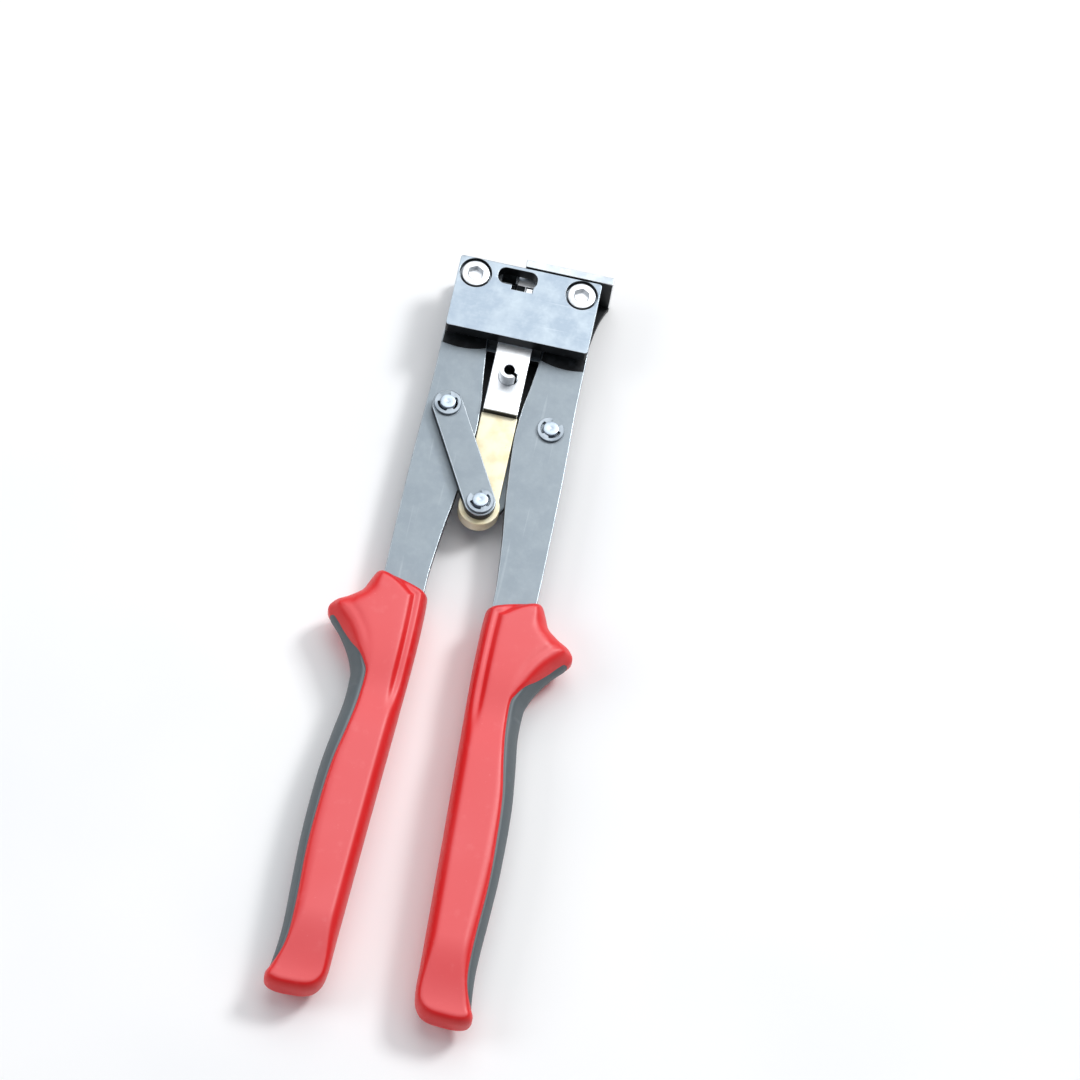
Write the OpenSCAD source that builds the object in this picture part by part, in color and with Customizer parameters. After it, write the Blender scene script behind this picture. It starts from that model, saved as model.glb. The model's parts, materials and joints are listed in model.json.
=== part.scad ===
// Two-handed lever pliers with a boxed head, a sliding ram and two toggle links.
// Drawn closed and lying on its back: +Y points to the head, +Z to the front of the tool.
// The working frame has its origin midway between the two lever pivots. The last step
// moves everything along Y, so that the origin ends up below the middle of the tool.

/* [Head plates] */
// Width of the front and back plates
plate_w = 56; // [54:0.5:64]
// Height of the plates above the lever pivots
plate_rise = 6.5; // [6.5:0.1:8]
// Depth of the plates below the lever pivots
plate_drop = 24.4; // [22:0.2:24.8]
// Corner radius of the plates
plate_corner = 1.2; // [0.5:0.1:2]
// Thickness of the front plate
front_plate_t = 6; // [5:0.1:8]
// Thickness of the back plate
back_plate_t = 4; // [3.2:0.1:5]
// Inner space between the two plates
head_gap = 9.6; // [9:0.1:12]
// Length of the window in the front plate
window_l = 15.4; // [12:0.1:17]
// Height of the window in the front plate
window_h = 7; // [5:0.1:7.4]
// Sideways place of the window's middle
window_x = -4.6; // [-6:0.1:-3]
// Distance from the plates' top edge to the window
window_wall = 1.4; // [1:0.1:2.5]
// Width of the port below the window
port_w = 8.4; // [6:0.1:10]
// Height of the port below the window
port_h = 1.9; // [1:0.1:2.5]

/* [Pivots] */
// Distance between the two lever pivots
pivot_span = 42; // [40:0.5:44]
// Outer diameter of the pivot bushes
bush_d = 8; // [7.5:0.1:8.4]
// Shank diameter of the pivot screws
pivot_screw_d = 6; // [5:0.1:6.4]
// Head diameter of the pivot screws
pivot_head_d = 10.9; // [10:0.1:12]
// How deep the pivot screw heads sit below the front plate's face
pivot_head_sunk = 0.3; // [0:0.1:1]
// Diameter of the counterbores in the front plate
counterbore_d = 12.6; // [12.2:0.1:12.8]
// Depth of the counterbores in the front plate
counterbore_depth = 3.8; // [3:0.1:4.5]

/* [Levers] */
// Thickness of the lever arms
arm_t = 5.8; // [5:0.1:7]
// Depth of the milled step where an arm enters the head
arm_step = 1.2; // [0.8:0.1:1.6]
// Radius of the milled step about the pivot
shoulder_r = 28.4; // [27:0.2:31]
// Radius of the rounded end of an arm about its pivot
arm_end_r = 6.1; // [5.8:0.1:6.4]
// Distance of the lever pins below the pivots
lever_pin_drop = 55.4; // [52:0.5:58]
// Distance of the lever pins from the middle line
lever_pin_x = 20.5; // [19.5:0.1:21.5]

/* [Linkage] */
// Distance of the base pin below the pivots
base_pin_drop = 93.6; // [90:0.5:96]
// Diameter of the three linkage pins
pin_d = 6; // [5:0.1:6.6]
// Width of the toggle links
link_w = 12.2; // [11:0.1:13]
// Thickness of the toggle links
link_t = 4; // [3:0.1:5]
// How much shorter a link is than its pins stand apart when closed
link_short = 0.47; // [0:0.01:0.6]
// Radial play of a link's hole on its lever pin
link_play = 0.6; // [0.55:0.01:0.8]
// Outer diameter of the E-clips
clip_d = 10.6; // [10.5:0.1:12]
// Thickness of the E-clips
clip_t = 1; // [0.8:0.1:1.2]

/* [Ram] */
// Width of the ram block
ram_w = 13.6; // [12.4:0.1:14.2]
// Distance of the ram block's foot below the pivots
ram_foot = 53.6; // [52:0.1:56]
// Distance of the ram block's top below the pivots
ram_top = 15.5; // [14.5:0.1:18]
// Width of the drive bar
bar_w = 14.2; // [13:0.1:14.4]
// Radius of the drive bar's round end
bar_end_r = 8; // [7.2:0.1:8.6]
// Diameter of the slotted pin
slot_pin_d = 7.6; // [7:0.1:8]
// Distance of the slotted pin below the pivots
slot_pin_drop = 38; // [37.8:0.1:39]
// How far the slotted pin stands out of the ram block
slot_pin_out = 6; // [0:0.1:6.2]

/* [Jaw] */
// Thickness of the jaw plate
jaw_plate_t = 3; // [2.4:0.1:4]
// Height of the jaw bar
jaw_bar_h = 3.2; // [3:0.1:5]
// Left end of the jaw bar
jaw_bar_left = -2.6; // [-5:0.1:-2]
// Right end of the jaw bar
jaw_bar_right = 32.2; // [31:0.1:34]
// Gap between the closed jaw bar and the head
jaw_gap = 0.7; // [0.4:0.1:2]
// Diameter of the punch
punch_d = 3.5; // [3:0.1:4]
// Sideways place of the punch
punch_x = 0.7; // [0.5:0.1:1.2]

/* [Grips] */
// Thickness of the grips
grip_t = 22; // [20:0.5:26]
// Distance of the grips' tops below the pivots
grip_top = 130; // [126:1:136]
// Length of the grips
grip_len = 175.5; // [165:0.5:220]
// Width of the grips at the fingers
grip_w = 26; // [24:0.5:32]
// Width of the tang inside a grip
tang_w = 9; // [7:0.5:11]

/* [Fits] */
// Radial running clearance of everything that turns
run_fit = 0.05; // [0.02:0.01:0.09]
// Clearance of parts that are screwed, pressed or glued together
seat_fit = 0.03; // [0:0.01:0.05]
// Side clearance of parts that turn face to face
face_gap = 0.1; // [0.1:0.05:0.3]
// Clearance of parts that slide past each other
slide_gap = 0.4; // [0.3:0.05:0.6]

/* [Hidden] */
$fn = 64;
e = 0.01;

// ---- layers along Z, from the back to the front ----
washer_t = 0.6;
rear_stack = jaw_plate_t + slide_gap + back_plate_t + washer_t + face_gap + arm_t / 2;
arm_mid = max(grip_t / 2, rear_stack);
arm_z0 = arm_mid - arm_t / 2;
arm_z1 = arm_mid + arm_t / 2;
neck_z1 = arm_z1 - arm_step;
back_z1 = arm_z0 - face_gap - washer_t;
back_z0 = back_z1 - back_plate_t;
jaw_z1 = back_z0 - slide_gap;
jaw_z0 = jaw_z1 - jaw_plate_t;
front_z0 = back_z1 + head_gap;
front_z1 = front_z0 + front_plate_t;
front_link_z0 = arm_z1 + 3 * face_gap;
front_link_z1 = front_link_z0 + link_t;
rear_link_z1 = arm_z0 - 3 * face_gap;
rear_link_z0 = rear_link_z1 - link_t;
clip_gap = 2 * face_gap;
pin_tip = 0.7;
pin_head_t = 1.9;
pin_head_d = 9.6;
block_z0 = back_z1 + slide_gap;
block_z1 = front_z0 - 0.3;

// ---- places ----
pivot_x = pivot_span / 2;
link_dx = lever_pin_x;
link_dy = base_pin_drop - lever_pin_drop;
link_lean = atan2(link_dx, link_dy);
link_len = norm([link_dx, link_dy]) - link_short;
jaw_bar_y0 = plate_rise + jaw_gap;
jaw_top = jaw_bar_y0 + jaw_bar_h;
window_y1 = plate_rise - window_wall;
window_y0 = window_y1 - window_h;
guide_t = 3.6;
guide_x0 = ram_w / 2 + run_fit;
guide_y1 = -4.4;
guide_y0 = -plate_drop + 1;
dowel_d = 2;
dowel_ys = [guide_y0 + 3.5, guide_y1 - 3.5];
dowel_x = guide_x0 + guide_t / 2;
die_x1 = pivot_x - arm_end_r - 0.8;
die_y0 = -2.8;
die_screw_d = 2.5;
die_screw_x = die_x1 - 1.9;
die_screw_y = (die_y0 + plate_rise) / 2;
insert_x0 = punch_x - 5;
insert_x1 = punch_x + 5;
punch_z = arm_mid + 1;
insert_z0 = punch_z - 3.2;
insert_z1 = front_z0 - 1.2;
punch_tip_y = -1.2;
port_x1 = punch_x + 1.4;
lug_w = 2.5;
jaw_screw_d = 4;
jaw_screw_ys = [-slot_pin_drop - 4.4, -ram_foot + 3.2];
bar_tongue_t = 3.6;
bar_tongue_top = slot_pin_drop - 6;
tail_x = 12;
tail_end = 60;

// ---- curves ----
// A point on the cubic that runs from b to c, with a and d as its outer neighbours.
function curve_point(a, b, c, d, t) =
    0.5 * (2 * b + (c - a) * t + (2 * a - 5 * b + 4 * c - d) * t * t
    + (3 * b - a - 3 * c + d) * t * t * t);

// A smooth closed outline through a list of points, with a number of steps between each two.
function smooth_loop(p, steps) = [
    for (i = [0 : len(p) - 1], s = [0 : steps - 1])
        curve_point(p[(i + len(p) - 1) % len(p)], p[i], p[(i + 1) % len(p)],
                    p[(i + 2) % len(p)], s / steps)
];

// The same for an open line, from its first point to its last.
function smooth_line(p, steps) = concat([
    for (i = [0 : len(p) - 2], s = [0 : steps - 1])
        curve_point(p[max(i - 1, 0)], p[i], p[i + 1], p[min(i + 2, len(p) - 1)], s / steps)
], [p[len(p) - 1]]);

// ---- outline of the right lever ----
grip_end = grip_top + grip_len;
hand_y0 = -(grip_top + 45);
hand_y1 = -(grip_end - 22.3);
// A height in the straight part of the grip, from 0 below the guard to 1 above the flare.
function hand(f) = hand_y0 + (hand_y1 - hand_y0) * f;

knee_x = bar_w / 2 + slide_gap;
arm_inner = smooth_line([
    [pivot_x - arm_end_r, -2], [11.4, -20], [9.4, -38], [knee_x + 0.5, -49], [knee_x, -57],
    [knee_x, -65], [9.3, -88], [11.4, -105], [12.9, -122], [13.2, -grip_top], [13.2, -grip_top - 8]
], 4);
arm_outer = smooth_line([
    [29.8, -grip_top - 8], [29.8, -grip_top], [29.8, -112], [29.4, -75], [28.4, -45], [28.2, -20],
    [pivot_x + arm_end_r, -2]
], 3);
arm_foot = -grip_top - 8;
arm_foot_x = [arm_inner[len(arm_inner) - 1][0], arm_outer[0][0]];
tang_x = [21.3, 24.8];
tang_end = hand(0.9);
function tang_outline(gap) = [
    [tang_x[0] - tang_w / 2 - gap, arm_foot], [tang_x[1] - tang_w / 2 - gap, tang_end - 10 * gap],
    [tang_x[1] + tang_w / 2 + gap, tang_end - 10 * gap], [tang_x[0] + tang_w / 2 + gap, arm_foot]
];

// The grip's outline. Its inner side faces the other grip, its outer side carries the insert.
grip_inner = [
    [12.6, -grip_top - 5.4], [11.2, -grip_top - 9], [11.2, -grip_top - 30],
    [12.2, hand(0.1)], [13.4, hand(0.36)], [14.8, hand(0.67)], [16.1, hand(0.97)],
    [16.8, -grip_end + 9.8], [19, -grip_end + 3.6]
];
grip_foot = [
    [22.8, -grip_end + 0.8], [29, -grip_end], [35, -grip_end + 0.1],
    [38.7, -grip_end + 1.6], [39.7, -grip_end + 4.6]
];
grip_outer = [
    [38.3, -grip_end + 9.3], [37.2, hand(0.98)], [grip_w + 11.8, hand(0.78)],
    [grip_w + 12.2, hand(0.6)], [grip_w + 11.4, hand(0.38)], [grip_w + 9.5, hand(0.22)],
    [grip_w + 7.8, hand(0.1)], [grip_w + 7.6, hand(0)], [34.4, -grip_top - 40.4],
    [36.9, -grip_top - 34.4]
];
grip_guard = [
    [41.2, -grip_top - 27.6], [45.6, -grip_top - 22.6], [47.6, -grip_top - 18.8],
    [46, -grip_top - 15.6], [41.2, -grip_top - 12.6], [36.6, -grip_top - 9],
    [34.4, -grip_top - 4.4], [32.2, -grip_top - 0.6], [28, -grip_top],
    [20, -grip_top - 2.2], [15, -grip_top - 3.9]
];
grip_outline = smooth_loop(concat(grip_inner, grip_foot, grip_outer, grip_guard), 4);

// The line between the hard shell and the soft insert, closed well outside the grip.
insert_line = smooth_line([
    [51, -grip_top - 24], [45.9, -grip_top - 21.6], [43, -grip_top - 23.8],
    [39.6, -grip_top - 27.9], [35.9, -grip_top - 32.3], [32.2, -grip_top - 36.4],
    [29.4, -grip_top - 40.8], [28, hand(0)],
    [28.6, hand(0.11)], [30.2, hand(0.22)], [32.8, hand(0.36)], [34.2, hand(0.53)],
    [34.8, hand(0.7)], [34.1, hand(0.9)], [34.6, -grip_end + 17.3], [38.3, -grip_end + 7.7],
    [42, -grip_end + 6.8]
], 4);
insert_region = concat(insert_line, [[60, -grip_end + 6.8], [60, -grip_top - 24]]);

grip_low = min([for (p = grip_outline) p[1]]);
mid_y = -(grip_low + jaw_top) / 2;

// ---- shared shapes ----
// Stands a piece in the final frame.
module placed() translate([0, mid_y, 0]) children();

// Repeats a piece on the left and the right side.
module both_sides() for (side = [-1, 1]) scale_side(side) children();
module scale_side(side) if (side < 0) mirror([1, 0, 0]) children(); else children();

// A straight slab from z0 to z1 with the outline of its children.
module slab(z0, z1) translate([0, 0, z0]) linear_extrude(z1 - z0) children();

// A round rod along Z.
module rod(d, z0, z1) translate([0, 0, z0]) cylinder(d = d, h = z1 - z0);

// A rectangle given by two corners, with rounded corners.
module round_rect(x0, y0, x1, y1, r) {
    translate([x0 + r, y0]) square([x1 - x0 - 2 * r, y1 - y0]);
    translate([x0, y0 + r]) square([x1 - x0, y1 - y0 - 2 * r]);
    for (x = [x0 + r, x1 - r], y = [y0 + r, y1 - r]) translate([x, y]) circle(r);
}

// A countersunk screw that points to +Z, with its flat head at z0.
module flat_screw(d, z0, z1) {
    head_h = d * 0.55;
    difference() {
        translate([0, 0, z0]) rotate_extrude()
            polygon([[0, 0], [d - 0.1, 0], [d - 0.1, 0.2], [d / 2, head_h],
                     [d / 2, z1 - z0], [0, z1 - z0]]);
        rod_hex(d * 0.62, z0 - e, z0 + head_h * 0.7);
    }
}

// The seat that a countersunk screw needs.
module flat_screw_seat(d, z0, z1) {
    head_h = d * 0.55;
    translate([0, 0, z0]) rotate_extrude()
        polygon([[0, -e], [d - 0.1 + seat_fit, -e], [d - 0.1 + seat_fit, 0.2 + seat_fit],
                 [d / 2 + seat_fit, head_h + seat_fit], [d / 2 + seat_fit, z1 - z0 + 0.4],
                 [0, z1 - z0 + 0.4]]);
}

// A six-sided prism for a hexagon socket, measured across its flats.
module rod_hex(flats, z0, z1)
    translate([0, 0, z0]) cylinder(d = flats / cos(30), h = z1 - z0, $fn = 6);

// A pin with a flat head at the back and a groove for its clip near the front.
module headed_pin(z_head, z_clip) {
    r = pin_d / 2;
    groove_r = r - 0.6;
    z_tip = z_clip + clip_t + pin_tip;
    z_neck = z_head + pin_head_t;
    rotate_extrude() polygon([
        [0, z_head], [pin_head_d / 2 - 0.4, z_head], [pin_head_d / 2, z_head + 0.4],
        [pin_head_d / 2, z_neck], [r, z_neck], [r, z_clip - 0.05], [groove_r, z_clip - 0.05],
        [groove_r, z_clip + clip_t + 0.05], [r, z_clip + clip_t + 0.05], [r, z_tip - 0.3],
        [r - 0.3, z_tip], [0, z_tip]
    ]);
}

// An E-clip: a split ring whose three lugs sit in the pin's groove.
module e_clip(z_clip) {
    inner_r = pin_d / 2 + 0.9;
    lug_r = pin_d / 2 - 0.6 + seat_fit;
    slab(z_clip, z_clip + clip_t) {
        difference() {
            circle(d = clip_d);
            circle(r = inner_r);
            translate([-pin_d * 0.38, -clip_d]) square([pin_d * 0.76, clip_d]);
        }
        for (a = [0, 130, 230]) rotate(a) difference() {
            translate([-1, lug_r - 0.2]) square([2, inner_r + 0.4 - lug_r]);
            circle(r = lug_r);
        }
    }
}

// ---- head ----
module plate_outline()
    round_rect(-plate_w / 2, -plate_drop, plate_w / 2, plate_rise, plate_corner);

module window_outline() {
    round_rect(window_x - window_l / 2, window_y0, window_x + window_l / 2, window_y1, 3);
    translate([port_x1 - port_w, window_y0 - port_h]) square([port_w, port_h + 1]);
}

module front_plate() color("lightsteelblue") placed() difference() {
    slab(front_z0, front_z1) plate_outline();
    slab(front_z0 - e, front_z1 + e) window_outline();
    both_sides() translate([pivot_x, 0, 0]) {
        rod(pivot_screw_d + 2 * seat_fit, front_z0 - e, front_z1 + e);
        rod(counterbore_d, front_z1 - counterbore_depth, front_z1 + e);
    }
    dowel_holes();
}

module back_plate() color("slategray") placed() difference() {
    slab(back_z0, back_z1) plate_outline();
    both_sides() translate([pivot_x, 0, 0])
        rod(pivot_screw_d + 2 * seat_fit, back_z0 - e, back_z1 + e);
    die_screw_holes();
    dowel_holes();
}

module die_screw_holes() both_sides() translate([die_screw_x, die_screw_y, 0])
    flat_screw_seat(die_screw_d, back_z0, front_z0 - 1.6);

// Pocket beside the punch that the slugs fall into, open to the port in the front plate.
module slug_pocket() slab(punch_z - 2, front_z0 + e)
    translate([punch_x - 7.1, die_y0 - e]) square([5.2, 5 + e]);

module dowel_holes() both_sides() for (y = dowel_ys) translate([dowel_x, y, 0])
    rod(dowel_d + 2 * seat_fit, back_z1 - 2.4, front_z0 + 2.4);

module die_block() color("dimgray") placed() difference() {
    slab(back_z1, front_z0)
        translate([-die_x1, die_y0]) square([2 * die_x1, plate_rise - die_y0]);
    // seat of the insert, open to the front and to both edges
    slab(insert_z0 - seat_fit, front_z0 + e)
        translate([insert_x0 - seat_fit, die_y0 - e])
            square([insert_x1 - insert_x0 + 2 * seat_fit, plate_rise - die_y0 + 2 * e]);
    // chute behind the upper left corner of the window
    slab(back_z1 + 1.6, front_z0 + e)
        translate([insert_x0 - 6.4, plate_rise - 4.8]) square([5.6, 3.6]);
    slug_pocket();
    die_screw_holes();
}

module die_insert() color("darkgray") placed() difference() {
    union() {
        slab(insert_z0, insert_z1)
            translate([insert_x0, die_y0]) square([insert_x1 - insert_x0, plate_rise - die_y0]);
        // lug that keys the insert into the right end of the front plate's port
        slab(insert_z1 - 1, front_z1 - 1.6)
            translate([port_x1 - lug_w, window_y0 - port_h + seat_fit])
                square([lug_w - seat_fit, port_h + 0.6]);
    }
    slug_pocket();
    translate([punch_x, die_y0 - e, punch_z]) rotate([-90, 0, 0])
        cylinder(d = punch_d + 2 * run_fit, h = plate_rise - die_y0 + 2 * e);
    // opening over the punch, where its tip can be watched
    slab(punch_z, insert_z1 + e)
        translate([punch_x - 1.4, window_y0 + 0.9]) square([2.8, 3.2]);
}

module guide_rail(side) placed() scale_side(side) difference() {
    slab(back_z1, front_z0) translate([guide_x0, guide_y0])
        square([guide_t, guide_y1 - guide_y0]);
    for (y = dowel_ys) translate([dowel_x, y, 0])
        rod(dowel_d + 2 * seat_fit, back_z1 - e, front_z0 + e);
}

module left_guide() color("dimgray") guide_rail(-1);
module right_guide() color("dimgray") guide_rail(1);

module guide_dowels() color("silver") placed()
    both_sides() for (y = dowel_ys) translate([dowel_x, y, 0])
        rod(dowel_d, back_z1 - 2.2, front_z0 + 2.2);

module head_screws() color("silver") placed()
    both_sides() translate([die_screw_x, die_screw_y, 0])
        flat_screw(die_screw_d, back_z0, front_z0 - 1.8);

module pivot_screws() color("silver") placed()
    both_sides() translate([pivot_x, 0, 0]) {
        z_seat = front_z1 - counterbore_depth;
        z_top = front_z1 - pivot_head_sunk;
        r = pivot_head_d / 2;
        difference() {
            rotate_extrude() polygon([
                [0, back_z0 + 0.2], [pivot_screw_d / 2, back_z0 + 0.2],
                [pivot_screw_d / 2, z_seat], [r, z_seat], [r, z_top - 0.5], [r - 0.5, z_top],
                [0, z_top]
            ]);
            rod_hex(5, z_top - 3, z_top + e);
        }
    }

module pivot_bushes() color("silver") placed()
    both_sides() translate([pivot_x, 0, 0]) difference() {
        rod(bush_d, back_z1, front_z0);
        rod(pivot_screw_d + 2 * seat_fit, back_z1 - e, front_z0 + e);
    }

module pivot_ring(d, z0, z1) placed() both_sides() translate([pivot_x, 0, 0]) difference() {
    rod(d, z0, z1);
    rod(bush_d + 2 * seat_fit, z0 - e, z1 + e);
}

module thrust_rings() color("silver")
    pivot_ring(2 * arm_end_r - 0.2, neck_z1 + face_gap, front_z0);
module thrust_washers() color("silver")
    pivot_ring(2 * arm_end_r + 0.8, back_z1, back_z1 + washer_t);

// ---- ram ----
module ram_block() color("gainsboro") placed() difference() {
    union() {
        slab(block_z0, block_z1) ram_outline(ram_top);
        slab(jaw_z1, block_z0 + e) ram_outline(slot_pin_drop - 0.6);
    }
    slab(arm_mid - bar_tongue_t / 2 - seat_fit, arm_mid + bar_tongue_t / 2 + seat_fit)
        translate([-ram_w / 2 - e, -ram_foot - e])
            square([ram_w + 2 * e, ram_foot - bar_tongue_top + 0.2 + e]);
    translate([0, -slot_pin_drop, 0]) rod(slot_pin_d + 2 * seat_fit, block_z0 - e, block_z1 + e);
    jaw_screw_holes();
}

module ram_outline(top)
    translate([-ram_w / 2, -ram_foot]) square([ram_w, ram_foot - top]);

module jaw_screw_holes() for (y = jaw_screw_ys) translate([0, y, 0])
    flat_screw_seat(jaw_screw_d, jaw_z0, jaw_screw_tip);
jaw_screw_tip = block_z0 - 0.8;

module drive_bar() color("wheat") placed() difference() {
    union() {
        slab(arm_z0, arm_z1) {
            translate([-bar_w / 2, -base_pin_drop])
                square([bar_w, base_pin_drop - ram_foot - seat_fit]);
            translate([0, -base_pin_drop]) circle(bar_end_r);
        }
        slab(arm_mid - bar_tongue_t / 2, arm_mid + bar_tongue_t / 2)
            translate([-ram_w / 2, -ram_foot - 1]) square([ram_w, ram_foot + 1 - bar_tongue_top]);
    }
    translate([0, -slot_pin_drop, 0]) rod(slot_pin_d + 2 * seat_fit, arm_z0 - e, arm_z1 + e);
    translate([0, -base_pin_drop, 0]) rod(pin_d + 2 * seat_fit, arm_z0 - e, arm_z1 + e);
}

// A spring pin: a tube with a slot along its side.
module slotted_pin() color("lightgray") placed() translate([0, -slot_pin_drop, 0]) difference() {
    rod(slot_pin_d, block_z0 + 0.3, block_z1 + slot_pin_out);
    rod(slot_pin_d * 0.54, block_z0, block_z1 + slot_pin_out + e);
    rotate(-33) slab(block_z0, block_z1 + slot_pin_out + e)
        translate([0, -0.6]) square([slot_pin_d, 1.2]);
}

module jaw_plate() color("#202326") placed() difference() {
    slab(jaw_z0, jaw_z1) {
        // tail behind the ram block
        round_rect(-tail_x, -tail_end, tail_x, -plate_drop - 4, 3);
        // web behind the right half of the head, up to the jaw bar
        polygon(concat([[-tail_x, -plate_drop - 8], [tail_x, -plate_drop - 8]], jaw_edge, [
            [jaw_bar_right, jaw_top], [jaw_bar_left, jaw_top], [jaw_bar_left, -6], [-tail_x, -14]
        ]));
    }
    jaw_screw_holes();
    for (x = tenon_xs) slab(jaw_z0 - e, jaw_z1 + e) tenon_outline(x, seat_fit);
}

// The web's right edge, from its foot up to the jaw bar.
jaw_edge = smooth_line([
    [jaw_bar_right - 4.6, -plate_drop - 2], [jaw_bar_right - 4.4, -plate_drop + 10],
    [jaw_bar_right - 3.8, -plate_drop + 18], [jaw_bar_right - 2.6, 0.5],
    [jaw_bar_right - 0.9, jaw_bar_y0 - 1.6], [jaw_bar_right, jaw_bar_y0]
], 4);

tenon_w = 7;
tenon_h = 1.8;
tenon_xs = [jaw_bar_left + 8, jaw_bar_right - 8];
module tenon_outline(x, gap)
    translate([x - tenon_w / 2 - gap, (jaw_bar_y0 + jaw_top - tenon_h) / 2 - gap])
        square([tenon_w + 2 * gap, tenon_h + 2 * gap]);

module jaw_screws() color("silver") placed()
    for (y = jaw_screw_ys) translate([0, y, 0]) flat_screw(jaw_screw_d, jaw_z0, jaw_screw_tip);

module jaw_bar() color("gainsboro") placed() difference() {
    union() {
        slab(jaw_z1, front_z1)
            translate([jaw_bar_left, jaw_bar_y0]) square([jaw_bar_right - jaw_bar_left, jaw_bar_h]);
        for (x = tenon_xs) slab(jaw_z0, jaw_z1 + e) tenon_outline(x, 0);
    }
    translate([punch_x, 0, punch_z]) rotate([-90, 0, 0]) {
        translate([0, 0, jaw_bar_y0 - e]) cylinder(d = punch_d + 2 * seat_fit, h = jaw_bar_h + 2 * e);
        translate([0, 0, jaw_top - 1.2]) cylinder(d = punch_d + 2 + 2 * seat_fit, h = 1.2 + e);
    }
}

module punch() color("silver") placed()
    translate([punch_x, 0, punch_z]) rotate([-90, 0, 0]) rotate_extrude() polygon([
        [0, punch_tip_y], [punch_d / 2, punch_tip_y], [punch_d / 2, jaw_top - 1.2],
        [punch_d / 2 + 1, jaw_top - 1.2], [punch_d / 2 + 1, jaw_top], [0, jaw_top]
    ]);

module base_pin() color("silver") placed() translate([0, -base_pin_drop, 0])
    headed_pin(rear_link_z0 - clip_gap - pin_head_t, front_link_z1 + clip_gap);

module base_pin_clip() color("gray") placed() translate([0, -base_pin_drop, 0])
    rotate(215) e_clip(front_link_z1 + clip_gap);

// ---- levers ----
module arm(side) placed() scale_side(side) difference() {
    slab(arm_z0, arm_z1) {
        translate([pivot_x, 0]) circle(arm_end_r);
        polygon(concat(arm_inner, tang_outline(0), arm_outer));
    }
    translate([pivot_x, 0, 0]) {
        rod(2 * shoulder_r, neck_z1, arm_z1 + e);
        rod(bush_d + 2 * run_fit, arm_z0 - e, arm_z1 + e);
    }
    translate([lever_pin_x, -lever_pin_drop, 0])
        rod(pin_d + 2 * seat_fit, arm_z0 - e, arm_z1 + e);
}

module left_arm() color("lightslategray") arm(-1);
module right_arm() color("lightslategray") arm(1);

// The pocket in the grip that takes the arm's end and its tang.
module arm_pocket() slab(arm_z0 - seat_fit, arm_z1 + seat_fit) polygon(concat(
    [[arm_foot_x[0] - seat_fit, -grip_top + 10], [arm_foot_x[0] - seat_fit, arm_foot - seat_fit]],
    [for (p = tang_outline(seat_fit)) [p[0], min(p[1], arm_foot - seat_fit)]],
    [[arm_foot_x[1] + seat_fit, arm_foot - seat_fit], [arm_foot_x[1] + seat_fit, -grip_top + 10]]
));

module grip(side) placed() scale_side(side) difference() {
    slab(arm_mid - grip_t / 2, arm_mid + grip_t / 2) polygon(grip_outline);
    slab(arm_mid - grip_t / 2 - e, arm_mid + grip_t / 2 + e) polygon(insert_region);
    arm_pocket();
}

module left_grip() color("crimson") grip(-1);
module right_grip() color("crimson") grip(1);

module grip_insert(side) placed() scale_side(side)
    slab(arm_mid - grip_t / 2 + 0.6, arm_mid + grip_t / 2 - 0.6) intersection() {
        polygon(grip_outline);
        polygon(insert_region);
    }

module left_grip_insert() color("slategray") grip_insert(-1);
module right_grip_insert() color("slategray") grip_insert(1);

module left_link_pin() color("silver") placed() translate([-lever_pin_x, -lever_pin_drop, 0])
    headed_pin(arm_z0 - pin_head_t, front_link_z1 + clip_gap);
module right_link_pin() color("silver") placed() translate([lever_pin_x, -lever_pin_drop, 0])
    headed_pin(rear_link_z0 - clip_gap - pin_head_t, arm_z1 + clip_gap);
module left_pin_clip() color("gray") placed() translate([-lever_pin_x, -lever_pin_drop, 0])
    rotate(205) e_clip(front_link_z1 + clip_gap);
module right_pin_clip() color("gray") placed() translate([lever_pin_x, -lever_pin_drop, 0])
    rotate(155) e_clip(arm_z1 + clip_gap);

// ---- links ----
// A flat link that leans from the base pin towards its lever pin.
module link(side, z0, z1) placed() translate([0, -base_pin_drop, 0])
    rotate(-side * link_lean) difference() {
        slab(z0, z1) {
            for (y = [0, link_len]) translate([0, y]) circle(d = link_w);
            translate([-link_w / 2, 0]) square([link_w, link_len]);
        }
        rod(pin_d + 2 * run_fit, z0 - e, z1 + e);
        translate([0, link_len, 0]) rod(pin_d + 2 * link_play, z0 - e, z1 + e);
    }

module left_link() color("lightsteelblue") link(-1, front_link_z0, front_link_z1);
module right_link() color("lightsteelblue") link(1, rear_link_z0, rear_link_z1);

front_plate();
back_plate();
die_block();
die_insert();
left_guide();
right_guide();
guide_dowels();
head_screws();
pivot_screws();
pivot_bushes();
thrust_rings();
thrust_washers();
ram_block();
drive_bar();
slotted_pin();
jaw_plate();
jaw_screws();
jaw_bar();
punch();
base_pin();
base_pin_clip();
left_arm();
right_arm();
left_grip();
right_grip();
left_grip_insert();
right_grip_insert();
left_link_pin();
right_link_pin();
left_pin_clip();
right_pin_clip();
left_link();
right_link();
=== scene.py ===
# %% [markdown]
# # Two-handed lever pliers with a boxed head
# The tool lies on its back on a pale table. Two steel levers with red grips turn in a
# boxed head. Two toggle links drive a ram up and down between them, and the ram carries a
# jaw bar across the end of the head. Everything below builds on a imported CAD model: each
# visible piece either keeps its CAD shape and gets a finish, with some shade and highlight
# painted into it, or is rebuilt in more detail in the same place and rides on the same
# moving body.

import json
import math

import bmesh
import bpy
import numpy as np
from mathutils import Matrix, Vector
from mathutils.geometry import delaunay_2d_cdt

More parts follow.
